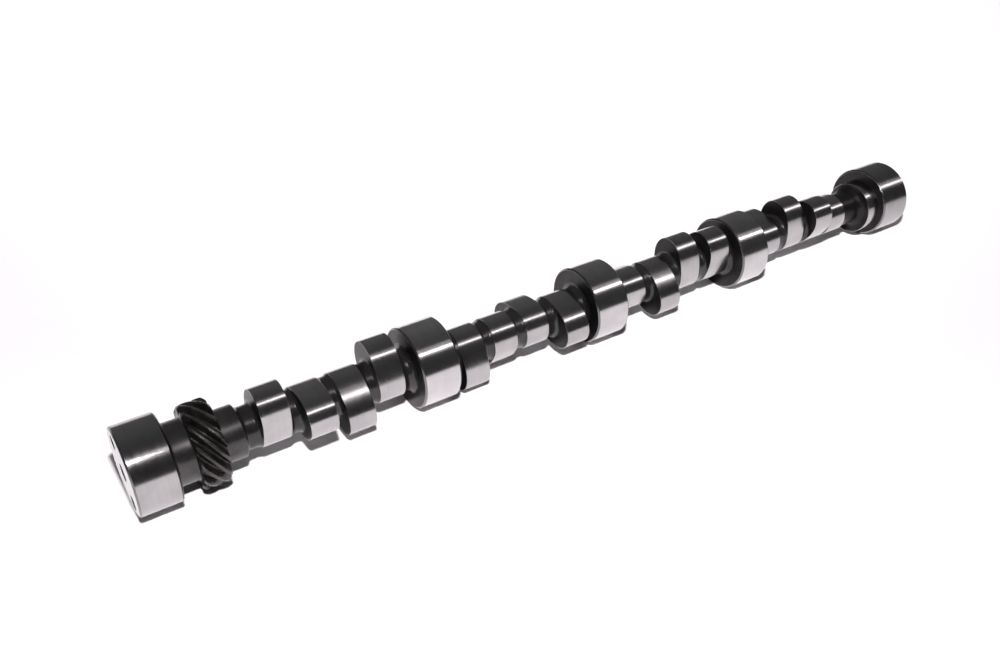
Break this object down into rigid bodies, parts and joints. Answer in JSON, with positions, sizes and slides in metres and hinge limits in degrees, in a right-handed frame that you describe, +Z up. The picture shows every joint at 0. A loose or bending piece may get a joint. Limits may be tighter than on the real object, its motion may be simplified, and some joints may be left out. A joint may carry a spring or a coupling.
{
  "type": "camshaft",
  "caption": "Camshaft for a V8 pushrod engine: equal ground journals, roller-follower lobes between them, a helical gear behind the lobes and an eccentric near the front.",
  "frame": {"origin": "centre of the front end face, on the shaft axis, where the timing sprocket seats", "axes": "+X along the shaft, out of its front end; +Z up, with the shaft lying on its journals; the angle of the lobes is as it lies"},
  "size_m": [0.5772, 0.0494, 0.0494],
  "materials": {
    "cam_steel": "ground journals and lobes, dark oxide between them"
  },
  "bodies": {
    "root": {"camshaft": "cam_steel"}
  },
  "joints": []
}
